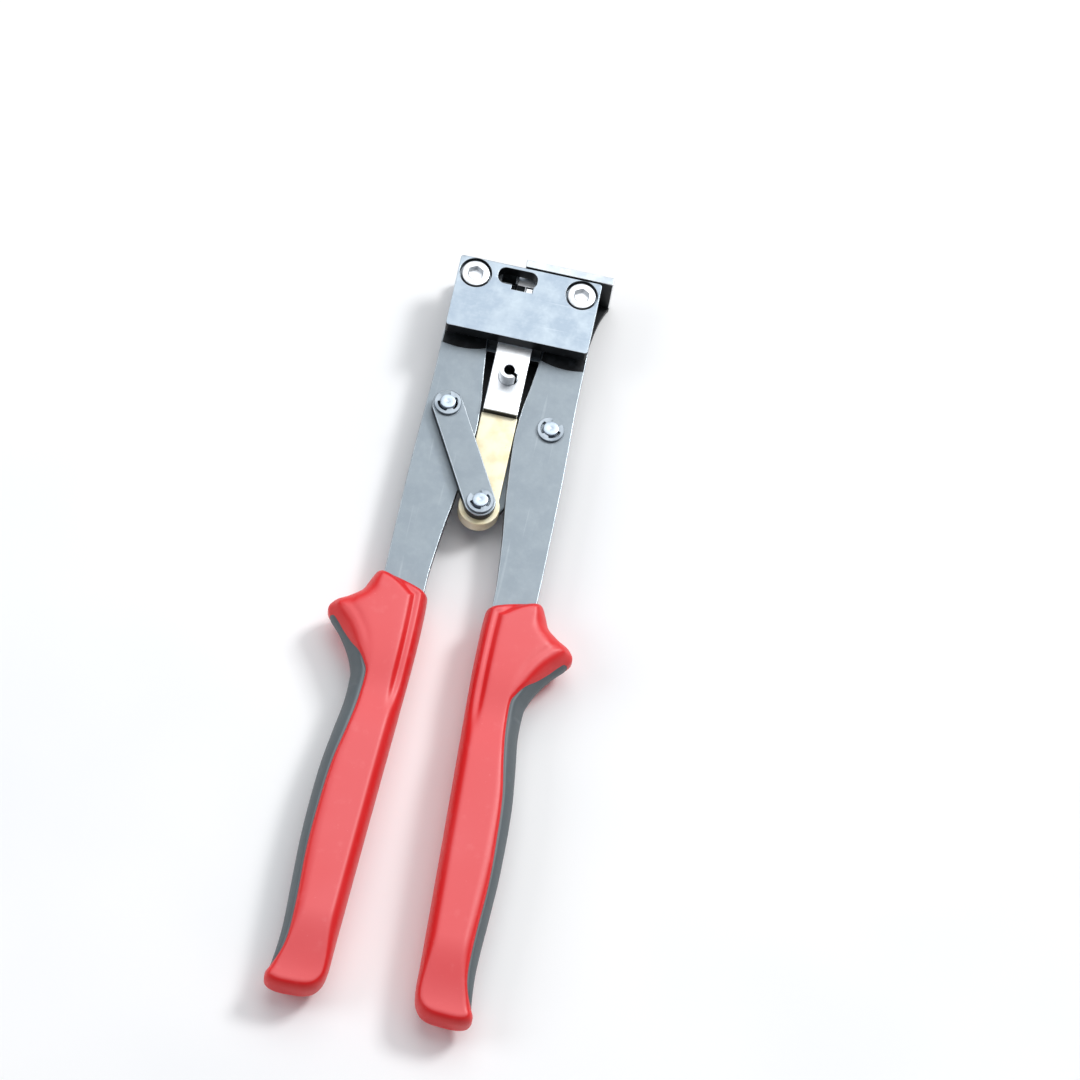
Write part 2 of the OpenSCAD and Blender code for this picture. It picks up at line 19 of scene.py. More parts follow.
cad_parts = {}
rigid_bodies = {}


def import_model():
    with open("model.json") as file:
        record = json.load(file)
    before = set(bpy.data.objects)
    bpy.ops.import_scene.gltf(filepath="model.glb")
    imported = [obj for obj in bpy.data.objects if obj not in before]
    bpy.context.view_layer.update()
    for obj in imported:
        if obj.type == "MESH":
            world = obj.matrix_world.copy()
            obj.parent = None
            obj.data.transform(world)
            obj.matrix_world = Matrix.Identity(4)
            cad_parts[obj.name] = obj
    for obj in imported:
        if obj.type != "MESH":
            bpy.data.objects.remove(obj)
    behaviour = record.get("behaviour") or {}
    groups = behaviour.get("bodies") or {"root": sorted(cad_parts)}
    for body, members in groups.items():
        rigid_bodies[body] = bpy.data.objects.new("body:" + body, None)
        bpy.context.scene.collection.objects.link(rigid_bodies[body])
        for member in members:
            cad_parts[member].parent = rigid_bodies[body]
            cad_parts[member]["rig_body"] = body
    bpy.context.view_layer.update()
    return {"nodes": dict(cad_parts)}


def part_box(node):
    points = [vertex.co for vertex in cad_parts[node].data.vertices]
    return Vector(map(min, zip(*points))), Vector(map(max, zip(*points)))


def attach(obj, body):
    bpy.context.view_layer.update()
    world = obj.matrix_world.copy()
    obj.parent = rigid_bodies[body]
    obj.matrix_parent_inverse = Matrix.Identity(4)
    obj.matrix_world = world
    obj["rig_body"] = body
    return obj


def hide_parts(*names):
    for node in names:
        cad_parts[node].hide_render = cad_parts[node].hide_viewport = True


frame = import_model()
MM = 0.001
nodes = frame["nodes"]

# %% [markdown]
# ## Camera
# A long lens a few metres away keeps the sides of the tool nearly parallel. The camera
# looks down from the handle end, about 25 degrees off the vertical, and the tool is turned
# a little in the frame. A constraint on an empty would also aim it, but three turns, a
# target and a distance say the same thing in plain numbers.

# %% Make the camera
CAMERA_TURN = [math.radians(a) for a in (25.27, -4.77, 11.28)]
CAMERA_DISTANCE = 3.07
CAMERA_TARGET = Vector((0.0256, 0.0467, 0.011))
camera_data = bpy.data.cameras.new("camera")
camera_data.lens = 266.7
camera_data.sensor_width = 36.0
camera = bpy.data.objects.new("camera", camera_data)
bpy.context.scene.collection.objects.link(camera)
camera.rotation_euler = CAMERA_TURN
camera_back = camera.rotation_euler.to_matrix() @ Vector((0, 0, 1))
camera.location = CAMERA_TARGET + camera_back * CAMERA_DISTANCE
camera_data.clip_start, camera_data.clip_end = 0.1, 20.0
bpy.context.scene.camera = camera
print("camera looks along", [round(-v, 3) for v in camera_back])

# %% [markdown]
# ## Light
# Bright metal shows whatever stands over it, so the lights are large soft boxes. One hangs
# where the camera's view bounces off the flat faces, and makes them glow evenly. A key
# light from the upper right draws the short shadows, and a weak one from the left lifts
# the sides that face it. The sky itself stays dim, so that faces turned away go dark.

# %% Make the lights
MIDDLE = Vector((0.0, 0.0, 0.012))


def soft_box(name, direction, distance, size, power, colour=(1, 1, 1)):
    """A square area light that hangs in a direction from the tool and points at it."""
    light = bpy.data.lights.new(name, "AREA")
    light.shape = "SQUARE"
    light.size, light.energy, light.color = size, power, colour
    lamp = bpy.data.objects.new(name, light)
    bpy.context.scene.collection.objects.link(lamp)
    away = Vector(direction).normalized()
    lamp.location = MIDDLE + away * distance
    lamp.rotation_mode = "QUATERNION"
    lamp.rotation_quaternion = away.to_track_quat("Z", "Y")


COOL_WHITE = (0.93, 0.96, 1.0)
soft_box("glow", (0.02, 0.46, 0.9), distance=2.4, size=2.4, power=29)
soft_box("key", (0.75, 0.75, 1.1), distance=2.4, size=0.6, power=27)
soft_box("fill", (-1.0, -0.15, 0.75), distance=2.2, size=1.0, power=11, colour=COOL_WHITE)
world = bpy.data.worlds.new("studio")
world.use_nodes = True
sky = world.node_tree.nodes["Background"]
sky.inputs["Color"].default_value = (0.92, 0.95, 1.0, 1)
sky.inputs["Strength"].default_value = 0.3
bpy.context.scene.world = world
bpy.context.scene.view_settings.view_transform = "Standard"

# %% [markdown]
# ## Shader maths in plain expressions
# A finish is a small sum: a base colour, minus some dirt, plus a few scratches. Wiring
# such sums by hand hides the idea, so one class wraps a socket and overloads the
# operators. An expression such as `1 - mask * 0.5` then adds its own Math nodes. The same
# class serves the Geometry Nodes trees further down, because they share the Math node.

# %% The socket class
COLOUR_A, COLOUR_B, COLOUR_OUT = 6, 7, 2


class Wire:
    """One socket of a node tree, which can be used in a Python expression."""

    def __init__(self, tree, socket=None):
        self.tree, self.socket = tree, socket

    def add(self, kind, settings=None, inputs=None, out=0):
        """Adds a node: first its settings, then the values or links of its sockets."""
        node = self.tree.nodes.new(kind)
        for name, value in (settings or {}).items():
            if name == "items":
                while len(node.index_switch_items) < value:
                    node.index_switch_items.new()
            else:
                setattr(node, name, value)
        for key, value in (inputs or {}).items():
            if isinstance(value, Wire):
                self.tree.links.new(value.socket, node.inputs[key])
            else:
                node.inputs[key].default_value = value
        return Wire(self.tree, node.outputs[out])

    def maths(self, operation, *others):
        values = dict(enumerate((self, *others)))
        return self.add("ShaderNodeMath", {"operation": operation}, values)

    def __add__(self, other):
        return self.maths("ADD", other)

    def __sub__(self, other):
        return self.maths("SUBTRACT", other)

    def __rsub__(self, other):
        return self.maths("MULTIPLY_ADD", -1.0, other)

    def __mul__(self, other):
        return self.maths("MULTIPLY", other)

    def __truediv__(self, other):
        return self.maths("DIVIDE", other)

    __radd__, __rmul__ = __add__, __mul__

    def between(self, low, high):
        """0 up to low, 1 from high on, and a smooth rise from one to the other."""
        return self.add(
            "ShaderNodeMapRange",
            {"interpolation_type": "SMOOTHSTEP"},
            {"Value": self, "From Min": low, "From Max": high},
        )

    def mix(self, first, second):
        """A colour: the first where this wire is 0, the second where it is 1."""
        return self.add(
            "ShaderNodeMix",
            {"data_type": "RGBA"},
            {0: self, COLOUR_A: first, COLOUR_B: second},
            COLOUR_OUT,
        )

    def scaled(self, x, y, z):
        """A vector with each of its parts multiplied."""
        return self.add(
            "ShaderNodeVectorMath", {"operation": "MULTIPLY"}, {0: self, 1: (x, y, z)}
        )

    def noise(self, size, detail=2.0, seed=0.0, roughness=0.5):
        """Cloudy noise whose blobs have about this size in millimetres."""
        return self.add(
            "ShaderNodeTexNoise",
            {"noise_dimensions": "4D"},
            {
                "Vector": self,
                "W": seed,
                "Scale": 1 / size,
                "Detail": detail,
                "Roughness": roughness,
            },
        )


print("Wire joins sockets with + - * / and a few named steps")

# %% [markdown]
# ## One recipe for every finish
# All finishes share a frame: object coordinates in millimetres go in, and a colour, a
# roughness and a small bump come out. Object coordinates need no unwrapping and stay put
# when the piece moves. Colours are given as they look on a screen, and turned into the
# linear values that the shader needs.

# %% The finish helper


def screen(code):
    """A colour such as B4C4D3, as linear values with full alpha."""
    parts = [int(code[i : i + 2], 16) / 255 for i in (0, 2, 4)]
    return (*[((c + 0.055) / 1.055) ** 2.4 if c > 0.04 else c / 12.92 for c in parts], 1)


def finish_of(name, recipe, **constants):
    """A material. The recipe gets a vector in millimetres and gives a dict of wires."""
    material = bpy.data.materials.new(name)
    material.use_nodes = True
    tree = material.node_tree
    shader = tree.nodes["Principled BSDF"]
    for key, value in constants.items():
        shader.inputs[key].default_value = value
    start = Wire(tree)
    place = start.add("ShaderNodeTexCoord", out="Object").scaled(1 / MM, 1 / MM, 1 / MM)
    result = recipe(place)
    for key in ("Base Color", "Roughness"):
        tree.links.new(result[key].socket, shader.inputs[key])
    if "height" in result:
        bump = start.add(
            "ShaderNodeBump",
            None,
            {"Height": result["height"], "Strength": 1.0, "Distance": MM},
        )
        tree.links.new(bump.socket, shader.inputs["Normal"])
    return material


# %% [markdown]
# ## Steel finishes
# The plates are ground steel that has been blued and rubbed: a light grey-blue skin with
# paler cloudy patches and fine grinding lines. Grinding lines are noise that is stretched
# along one direction. The cut sides keep the mill's black skin, which also serves as painted
# shade on faces that fall in shadow, and the edges are rubbed bright, partly as a painted
# highlight. Each of these is its own small recipe, so that one piece can wear all three.

# %% Metal recipes


LINES_ALONG_X = (0.04, 1.6, 1.6)
LINES_ALONG_Y = (1.2, 0.05, 1.2)
SHORT_LINES = (0.3, 1.2, 1.2)
NO_DIRECTION = (0.6, 0.6, 0.6)


def ground_steel(dark, light, along=LINES_ALONG_X, shine=0.36, seed=0.0, worn=0.25):
    """Ground metal with cloudy patches, fine lines along one axis and a few scratches."""

    def recipe(mm):
        cloud = mm.noise(9.0, 3.0, seed).between(0.38, 0.66)
        haze = mm.noise(2.2, 4.0, seed + 3, 0.65).between(0.42, 0.74)
        lines = mm.scaled(*along).noise(1.0, 3.0, seed + 5, 0.7)
        deep = mm.scaled(*[a * 0.45 for a in along]).noise(1.0, 1.0, seed + 7)
        scratch = deep.between(0.66, 0.72)
        mask = cloud * 0.6 + haze * 0.28 + (lines - 0.5) * 0.5
        return {
            "Base Color": (scratch * worn).mix(mask.mix(dark, light), screen("E6ECF0")),
            "Roughness": shine + (lines - 0.5) * 0.22 + cloud * 0.08 - scratch * 0.05,
            "height": lines * 0.012 - scratch * worn * 0.04 + haze * 0.003,
        }

    return recipe


def black_skin_and_shade(mm):
    """Black oxide on a sawn side: nearly black, uneven, a little greasy. Also put on faces in
    shadow as painted shade.
    """
    spots = mm.noise(3.0, 3.0, 11.0).between(0.45, 0.75)
    rub = mm.scaled(1, 1, 0.2).noise(0.8, 2.0, 13.0).between(0.6, 0.8)
    return {
        "Base Color": (spots * 0.5 + rub * 0.35).mix(screen("17191C"), screen("3A3F45")),
        "Roughness": 0.42 + spots * 0.16,
        "height": rub * 0.02 + spots * 0.01,
    }


def zinc_plate(dark, light, shine=0.3, seed=20.0):
    """Zinc plating: bright, slightly milky, with faint stains and fine turning marks."""

    def recipe(mm):
        stain = mm.noise(6.0, 3.0, seed).between(0.4, 0.7)
        grain = mm.noise(0.5, 3.0, seed + 1, 0.6)
        dots = mm.noise(1.1, 1.0, seed + 2).between(0.7, 0.76)
        return {
            "Base Color": (stain * 0.7 + dots * 0.4).mix(light, dark),
            "Roughness": shine + stain * 0.1 + (grain - 0.5) * 0.15,
            "height": grain * 0.006,
        }

    return recipe


steel = {
    "plate": finish_of(
        "blued plate",
        ground_steel(screen("97A5B3"), screen("B7C3CC"), worn=0.15),
        Metallic=0.85,
    ),
    "arm": finish_of(
        "satin arm",
        ground_steel(
            screen("838D95"), screen("949EA5"), LINES_ALONG_Y, shine=0.42, seed=40.0, worn=0.05
        ),
        Metallic=0.85,
    ),
    # paler than the faces: partly rubbed metal, partly a painted highlight along the bevels
    "rubbed": finish_of(
        "rubbed edge and painted highlight",
        ground_steel(screen("AEB8C0"), screen("D5DDE2"), NO_DIRECTION, shine=0.3, seed=50.0),
        Metallic=0.9,
    ),
    "tool": finish_of(
        "hardened tool steel",
        ground_steel(screen("55595C"), screen("7E8387"), SHORT_LINES, shine=0.4, seed=60.0),
        Metallic=0.9,
    ),
    # the black finish is partly a real oxide skin and partly painted shade on faces that fall
    # in shadow
    "black": finish_of("black oxide", black_skin_and_shade, Metallic=0.55),
    "bright": finish_of(
        "bright zinc", zinc_plate(screen("C4CAD0"), screen("F4F7FA")), Metallic=0.9
    ),
    "yellow": finish_of(
        "yellow zinc",
        zinc_plate(screen("E2D3A6"), screen("F4EDD0"), shine=0.36, seed=30.0),
        Metallic=0.3,
    ),
    "pin": finish_of(
        "blue zinc",
        zinc_plate(screen("9FACBA"), screen("BECBD8"), shine=0.34, seed=35.0),
        Metallic=0.9,
    ),
    "spring": finish_of(
        "tempered spring steel",
        zinc_plate(screen("6F7A84"), screen("A2ACB5"), shine=0.32, seed=70.0),
        Metallic=0.9,
    ),
}
print("metal finishes:", ", ".join(steel))

# %% [markdown]
# ## Moulded plastic and rubber
# The grips are hard red plastic with a fine eroded texture from the mould, and the inlay
# is softer grey rubber. On both, the grain is much smaller than the wear: pale rubbed
# spots a few millimetres wide, some dust specks, and a slow drift of the colour. Faces
# that look straight up or down are painted paler, as the sheen of the light on them, and
# the rounded sides keep the full colour, which stands as painted shade.

# %% Plastic recipes


def moulded(base, pale, grain, depth, shine, seed):
    """Moulded plastic, painted paler on its broad faces as a sheen of light."""

    def recipe(mm):
        drift = mm.noise(30.0, 2.0, seed).between(0.3, 0.7)
        rubbed = mm.noise(5.0, 4.0, seed + 1, 0.6).between(0.55, 0.8)
        normal = mm.add("ShaderNodeTexCoord", out="Normal")
        upward = mm.add("ShaderNodeSeparateXYZ", None, {0: normal}, "Z")
        # painted sheen: faces that look straight up or down get the paler colour, as light
        # lying on them
        broad_face_sheen = upward.maths("ABSOLUTE").between(0.8, 0.99)
        dust = mm.noise(0.9, 1.0, seed + 2).between(0.735, 0.78)
        texture = mm.noise(grain, 3.0, seed + 3, 0.7)
        # sheen painted on the broad faces, plus real rubbed spots, colour drift and dust
        sheen_and_wear = broad_face_sheen * 0.5 + rubbed * 0.2 + drift * 0.1 + dust * 0.3
        return {
            "Base Color": sheen_and_wear.mix(base, pale),
            "Roughness": shine + (texture - 0.5) * 0.25 + rubbed * 0.08,
            "height": texture * depth + dust * 0.01,
        }

    return recipe


red_plastic = finish_of(
    "red hard plastic",
    moulded(
        screen("E01316"), screen("EE7276"), grain=0.45, depth=0.03, shine=0.42, seed=80.0
    ),
)
grey_rubber = finish_of(
    "grey soft rubber",
    moulded(
        screen("565E62"), screen("7F8A90"), grain=0.35, depth=0.04, shine=0.55, seed=90.0
    ),
)
print("grip finishes:", red_plastic.name, "and", grey_rubber.name)

# %% [markdown]
# ## CAD pieces with real edges
# No real steel edge is perfectly sharp. A thin bevel catches a line of light along every
# edge, and that line tells the eye how big and how hard the piece is. The CAD mesh itself
# stays as it is: a copy of it is merged, and a Bevel modifier rounds its sharp edges. The
# bevel has its own, rubbed finish, paler than the faces as a painted highlight on top of the
# wear; the broad faces have the main one, and sawn sides and faces in shadow may have a
# third, which is partly painted shade.

# %% The helper that copies and finishes a CAD piece
FACE, SIDE, EDGE = 0, 1, 2
STEEP = 0.6  # a face whose normal leans less than this towards an axis does not face it


def into_scene(mesh, name):
    """Puts a mesh into the scene as a new object."""
    made = bpy.data.objects.new(name, mesh)
    bpy.context.scene.collection.objects.link(made)
    return made


def as_plain_mesh(made):
    """Applies every modifier and keeps the result as the object's own mesh."""
    seen = made.evaluated_get(bpy.context.evaluated_depsgraph_get())
    made.data = bpy.data.meshes.new_from_object(seen)
    made.modifiers.clear()
    return made


def stand_in(made, *replaced):
    """The new piece stands for CAD nodes, and rides where the first of them rides."""
    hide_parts(*replaced)
    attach(made, nodes[replaced[0]]["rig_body"])
    return made


def merged_copy(node):
    """A bmesh of a CAD node with its doubles merged."""
    shape = bmesh.new()
    shape.from_mesh(nodes[node].data)
    bmesh.ops.remove_doubles(shape, verts=shape.verts, dist=0.002 * MM)
    return shape


def finished(node, bevel, face, side=None, edge="rubbed", side_rule=None):
    """A bevelled copy of a CAD node. The side rule says which faces get the side finish: sawn
    sides, and faces painted dark as shade.
    """
    shape = merged_copy(node)
    rule = side_rule or (lambda f: abs(f.normal.z) < STEEP)
    for f in shape.faces:
        f.material_index = SIDE if side and rule(f) else FACE
        f.smooth = True
    mesh = bpy.data.meshes.new(node)
    shape.to_mesh(mesh)
    shape.free()
    for finish in (face, side or face, edge):
        mesh.materials.append(steel[finish])
    made = into_scene(mesh, node + "_finished")
    rounding = made.modifiers.new("edges", "BEVEL")
    rounding.width, rounding.segments = bevel * MM, 2
    rounding.limit_method, rounding.angle_limit = "ANGLE", math.radians(35)
    rounding.use_clamp_overlap = False
    rounding.material = EDGE
    rounding.loop_slide = False
    made.modifiers.new("flat faces stay flat", "WEIGHTED_NORMAL").weight = 100
    as_plain_mesh(made)
    print(f"{node}: {len(made.data.polygons)} faces")
    return stand_in(made, node)


# %% [markdown]
# ## The head, the levers and the links
# These are flat pieces cut from plate, so the bevelled copy is all they need. The front
# and the back plate are ground and blued, the lever arms and the links are satin, and all
# their sawn sides are black, partly as a real oxide skin and partly as painted shade where
# the sides and the step under the front plate fall in shadow. The jaw bar is black with a
# bright rubbed front face, its black standing partly for the shade under the head's end.

# %% Finish the flat steel pieces
ARM_STEP = 0.6 * MM


def sawn_side_or_shaded_neck(f):
    """The arms' sawn sides, and the neck cut down where they enter the head, which gets the
    black finish as painted shade under the front plate.
    """
    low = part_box("left_arm")[1].z - ARM_STEP
    # the neck under the front plate is painted black as the plate's shadow
    shaded_neck = f.normal.z > STEEP and f.calc_center_median().z < low
    return abs(f.normal.z) < STEEP or shaded_neck


# the plates' sawn sides get the black finish: a real oxide skin, and painted shade along the
# front plate's lower edge
for name in ("front_plate", "back_plate"):
    finished(name, 0.15, "plate", "black")
# the arms' sawn sides are partly painted shade, and their neck under the plate is painted
# shade
for name in ("left_arm", "right_arm"):
    finished(name, 0.3, "arm", "black", side_rule=sawn_side_or_shaded_neck)
# the links' sawn sides are black: a real oxide skin, and painted shade along their edges
for name in ("left_link", "right_link"):
    finished(name, 0.35, "arm", "black")
# the ram block's foot face, looking down the tool, gets the black finish as painted shade
finished("ram_block", 0.3, "bright", "black", "bright", lambda f: f.normal.y < -STEEP)
finished("drive_bar", 0.4, "yellow", edge="yellow")
# the jaw plate is black all over: a real oxide skin, and painted shade deep under the head's
# end
finished("jaw_plate", 0.25, "black", edge="black")
# the jaw bar's faces that don't look straight up are black: a real oxide skin, and painted
# shade on its underside
finished("jaw_bar", 0.3, "rubbed", "black", "bright", lambda f: f.normal.z < STEEP)
finished("die_block", 0.15, "tool")
# the die insert's face is bright zinc rather than the tool steel of its sides: painted light,
# so it shows in the window's shade
finished("die_insert", 0.15, "bright", "tool", "bright")

# %% [markdown]
# ## Carried pieces
# Guides, dowels, bushes, rings, washers and the punch sit between the plates and show only
# as slivers. They keep their CAD mesh and get a finish.

# %% Give the inner pieces their finishes
CARRIED = {
    "left_guide": "tool",
    "right_guide": "tool",
    "guide_dowels": "bright",
    "pivot_bushes": "bright",
    "thrust_rings": "bright",
    "thrust_washers": "bright",
    "punch": "bright",
}
for name, finish in CARRIED.items():
    nodes[name].data.materials.clear()
    nodes[name].data.materials.append(steel[finish])
print("carried:", ", ".join(CARRIED))

# %% [markdown]
# ## Turned pieces from one rule
# A screw, a grooved pin and a spring clip have one thing in common: a small section runs
# round an axis. So one Geometry Nodes tree rolls up a flat grid. Along one side of the grid
# a point knows its place in the section, along the other its turn, and sums of the named
# sizes give its radius and its height. Each kind of piece only needs a different section.
# Modelling each one by hand would work too, but a rule keeps a groove and its clip in step
# when a size changes.

# %% The tree that rolls up a grid
TURN = 2 * math.pi
END_STEPS = 1
WELD = 0.001 * MM
CORNER = 0.3  # how far the middle point of a rounded corner stays from both its sides


def rolled(name, sizes, section, steps=96, sweep=None):
    """Starts a tree whose section runs round Z. The section function gets the wires of
    the sizes and of the angle, and gives pairs of radius and height. Without a sweep the
    piece closes all round; with one it runs that far, in radians, and has two ends."""
    tree = bpy.data.node_groups.new(name, "GeometryNodeTree")
    tree.interface.new_socket(
        "Geometry", in_out="OUTPUT", socket_type="NodeSocketGeometry"
    )
    for key in sizes:
        tree.interface.new_socket(key, in_out="INPUT", socket_type="NodeSocketFloat")
    given = tree.nodes.new("NodeGroupInput")
    size = {key: Wire(tree, given.outputs[key]) for key in sizes}
    start = Wire(tree)
    place = start.add("GeometryNodeInputPosition")
    across, along = [
        start.add("ShaderNodeSeparateXYZ", None, {0: place}, axis) for axis in (0, 1)
    ]
    share = along + 0.5
    if sweep:
        share = (share * steps - END_STEPS) / (steps - 2 * END_STEPS)
        share = share.maths("MAXIMUM", 0.0).maths("MINIMUM", 1.0)
    angle = share * (sweep or TURN) - (sweep or 0.0) / 2
    rows = section(size, angle)
    if sweep:
        # both ends close on the middle of the section
        heart = [sum(part) / len(rows) for part in zip(*rows)]
        end = along.maths("ABSOLUTE").maths("GREATER_THAN", 0.5 - 0.4 / steps)
        rows = [
            (r + (heart[0] - r) * end, z + (heart[1] - z) * end)
            for r, z in rows + rows[:1]
        ]
    last = len(rows) - 1
    index = (across + last / 2).maths("ROUND")
    radius, height = [
        start.add(
            "GeometryNodeIndexSwitch",
            {"data_type": "FLOAT", "items": len(rows)},
            {0: index, **{i + 1: row[part] for i, row in enumerate(rows)}},
        )
        for part in (0, 1)
    ]
    x, y = radius * angle.maths("COSINE"), radius * angle.maths("SINE")
    spot = start.add("ShaderNodeCombineXYZ", None, {0: x, 1: y, 2: height})
    sheet = start.add(
        "GeometryNodeMeshGrid", None, {0: float(last), 1: 1.0, 2: last + 1, 3: steps + 1}
    )
    moved = start.add("GeometryNodeSetPosition", None, {"Geometry": sheet, "Position": spot})
    closed = start.add(
        "GeometryNodeMergeByDistance", None, {"Geometry": moved, "Distance": WELD}
    )
    return tree, closed


def grown(name, tree, shape, material, values, place, turned=0.0, offset=None):
    """Closes a tree, runs it with its sizes in millimetres, and keeps a plain mesh. With
    an offset there are two of the piece, the second one that far from the first."""
    start = Wire(tree)
    if offset:
        spots = start.add("GeometryNodeMeshLine", None, {"Count": 2, "Offset": offset})
        shape = start.add(
            "GeometryNodeInstanceOnPoints", None, {"Points": spots, "Instance": shape}
        )
    real = start.add("GeometryNodeRealizeInstances", None, {0: shape})
    dressed = start.add(
        "GeometryNodeSetMaterial", None, {"Geometry": real, "Material": material}
    )
    out = tree.nodes.new("NodeGroupOutput")
    tree.links.new(dressed.socket, out.inputs[0])
    made = into_scene(bpy.data.meshes.new(name), name)
    run = made.modifiers.new("rule", "NODES")
    run.node_group = tree
    for item in tree.interface.items_tree:
        if item.in_out == "INPUT":
            run[item.identifier] = float(values[item.name]) * MM
    as_plain_mesh(made)
    turn = Matrix.Rotation(math.radians(turned), 4, "Z")
    made.data.transform(Matrix.Translation(place) @ turn)
    shape = bmesh.new()
    shape.from_mesh(made.data)
    bmesh.ops.remove_doubles(shape, verts=shape.verts, dist=WELD)
    bmesh.ops.recalc_face_normals(shape, faces=shape.faces)
    for f in shape.faces:
        f.smooth = True
    shape.to_mesh(made.data)
    shape.free()
    made.data.set_sharp_from_angle(angle=math.radians(28))
    print(f"{name}: {len(made.data.polygons)} faces")
    return made


# %% [markdown]
# ## Socket screws
# The two pivot screws have flat round heads that sit in counterbores, just below the
# plate's face, each with a hexagon socket. A hexagon is also a rule: its radius is half
# its width over the cosine of the angle from the nearest flat. The countersunk screws at
# the back are the same idea with a cone below the head.

# %% Pivot screws


def hexagon(flats, angle):
    """The radius of a hexagon at an angle, from its width across flats."""
    third = TURN / 6
    off = (angle + third / 2).maths("FLOORED_MODULO", third) - third / 2
    return flats / 2 / off.maths("COSINE")


def screw_section(s, angle):
    """From the middle of the foot, up the shank, round the head and into the socket."""
    flat = hexagon(s["socket"], angle)
    top, edge = s["top"], s["edge"]
    return [
        (0.0, s["foot"]),
        (s["shank"], s["foot"]),
        (s["shank"], s["seat"]),
        (s["head"], s["seat"]),
        (s["head"], top - edge),
        (s["head"] - edge * CORNER, top - edge * CORNER),
        (s["head"] - edge, top),
        (flat + edge * 0.8, top),
        (flat, top - edge * 0.8),
        (flat, top - s["depth"]),
        (0.0, top - s["depth"]),
    ]


def middle_of(node):
    lo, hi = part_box(node)
    return (lo + hi) / 2


screw_lo, screw_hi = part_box("pivot_screws")
HEAD_RADIUS = 5.45
HEAD_HEIGHT = 3.5
PIVOT_X = screw_hi.x / MM - HEAD_RADIUS
PIVOT_Y = middle_of("pivot_screws").y / MM
screw_sizes = {
    "foot": screw_lo.z / MM,
    "seat": screw_hi.z / MM - HEAD_HEIGHT,
    "top": screw_hi.z / MM,
    "shank": 3.0,
    "head": HEAD_RADIUS,
    "edge": 0.5,
    "socket": 5.0,
    "depth": 2.0,
}
tree, shape = rolled("socket screw", screw_sizes, screw_section)
stand_in(
    grown(
        "pivot_socket_screws",
        tree,
        shape,
        steel["bright"],
        screw_sizes,
        (-PIVOT_X * MM, PIVOT_Y * MM, 0),
        offset=(2 * PIVOT_X * MM, 0, 0),
    ),
    "pivot_screws",
)

# %% Countersunk screws


def flat_section(s, angle):
    """From the middle of the socket, out over the face, down the cone to the tip."""
    flat = hexagon(s["socket"], angle)
    low, edge = s["face"], s["edge"]
    return [
        (0.0, low + s["depth"]),
        (flat, low + s["depth"]),
        (flat, low + edge),
        (flat + edge, low),
        (s["head"] - edge, low),
        (s["head"], low + edge),
        (s["shank"], low + s["cone"]),
        (s["shank"], s["tip"]),
        (0.0, s["tip"]),
    ]


for node, diameter in (("head_screws", 2.5), ("jaw_screws", 4.0)):
    lo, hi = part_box(node)
    head = diameter - 0.1
    sizes = {
        "face": lo.z / MM,
        "tip": hi.z / MM,
        "head": head,
        "shank": diameter / 2,
        "cone": diameter * 0.55,
        "edge": 0.18,
        "socket": diameter * 0.62,
        "depth": diameter * 0.38,
    }
    first = Vector((lo.x + head * MM, lo.y + head * MM, 0))
    second = Vector((hi.x - head * MM, hi.y - head * MM, 0))
    tree, shape = rolled("flat screw " + node, sizes, flat_section)
    made = grown(
        node + "_turned", tree, shape, steel["bright"], sizes, first, offset=second - first
    )
    stand_in(made, node)

# %% [markdown]
# ## Pins and spring clips
# Three headed pins join the links, the levers and the ram. Each has a groove near its
# front end, and a spring clip with three lugs snaps into it. The clip is a sweep of about
# five sixths of a turn, whose inner radius drops to the groove at every lug.

# %% Linkage pins
PIN_RADIUS = 3.0
CLIP_THICK = 1.0
pin_sizes = {
    "pin": PIN_RADIUS,
    "head": 4.8,
    "head height": 1.9,
    "groove": PIN_RADIUS - 0.6,
    "clip": CLIP_THICK,
    "edge": 0.35,
}


def pin_section(s, angle):
    """From the middle of the head, past the groove, to the dimple in the front end."""
    low, high, edge = s["low"], s["high"], s["edge"]
    return [
        (0.0, low),
        (s["head"] - edge, low),
        (s["head"], low + edge),
        (s["head"], low + s["head height"]),
        (s["pin"], low + s["head height"]),
        (s["pin"], s["slot"]),
        (s["groove"], s["slot"]),
        (s["groove"], s["slot"] + s["clip"]),
        (s["pin"], s["slot"] + s["clip"]),
        (s["pin"], high - edge),
        (s["pin"] - edge * CORNER, high - edge * CORNER),
        (s["pin"] - edge, high),
        (edge * 2, high),
        (0.0, high - edge),
    ]


# each pin's clip, and how far that clip is turned in degrees
PINS = {
    "left_link_pin": ("left_pin_clip", 295),
    "right_link_pin": ("right_pin_clip", 245),
    "base_pin": ("base_pin_clip", 305),
}
for node, (clip, _) in PINS.items():
    lo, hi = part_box(node)
    sizes = dict(pin_sizes, low=lo.z / MM, high=hi.z / MM, slot=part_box(clip)[0].z / MM)
    tree, shape = rolled("grooved pin " + node, sizes, pin_section)
    spot = middle_of(node)
    made = grown(
        node + "_turned", tree, shape, steel["pin"], sizes, (spot.x, spot.y, 0)
    )
    stand_in(made, node)

# %% Spring clips
clip_sizes = {"outer": 5.3, "inner": 3.9, "lug": 2.45, "edge": 0.16, "thick": CLIP_THICK}
CLIP_SWEEP = math.radians(302)
LUG_ANGLES = (0.0, math.radians(128))
LUG_FULL, LUG_GONE = math.radians(13), math.radians(24)
SLIM_FROM, SLIM_TO, SLIMMER = math.radians(95), math.radians(150), 0.07


